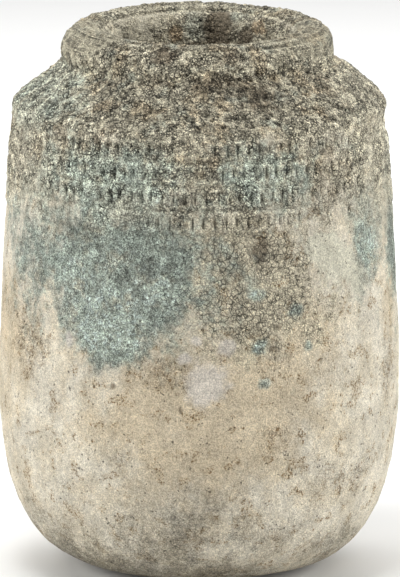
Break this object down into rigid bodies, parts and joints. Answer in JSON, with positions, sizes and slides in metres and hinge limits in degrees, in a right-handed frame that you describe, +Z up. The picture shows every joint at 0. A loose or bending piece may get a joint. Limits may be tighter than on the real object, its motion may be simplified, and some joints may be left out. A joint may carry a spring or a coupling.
{
  "type": "storage jar",
  "caption": "Stout earthenware storage jar: rounded heel, near-upright wall, rows of impressed strips under a sloping shoulder, and a thick rolled rim round an open mouth.",
  "frame": {"origin": "centre of the flat patch under the base, where the jar's axis meets the floor", "axes": "+Z up along the jar's axis; -Y is the side that faces the camera in the picture, +X is to its right"},
  "size_m": [0.368, 0.368, 0.504],
  "materials": {
    "bare_clay": "matt buff earthenware with small pits",
    "weathered_glaze": "decayed blue-green glaze over buff clay, finely crackled, mostly matt",
    "glaze_crust": "grey-green glaze remains under a rough burial crust",
    "lime_crust": "rough grey-brown burial crust over clay"
  },
  "bodies": {
    "root": {"base_slab": "bare_clay", "heel_ring": "bare_clay", "lower_wall_ring": "bare_clay", "middle_wall_ring": "weathered_glaze", "upper_wall_ring": "weathered_glaze", "shoulder_ring": "glaze_crust", "shoulder_cordon": "glaze_crust", "impressed_strip_1": "glaze_crust", "impressed_strip_2": "glaze_crust", "impressed_strip_3": "glaze_crust", "impressed_strip_4": "glaze_crust", "throat_ring": "lime_crust", "rim_roll": "lime_crust"}
  },
  "joints": []
}
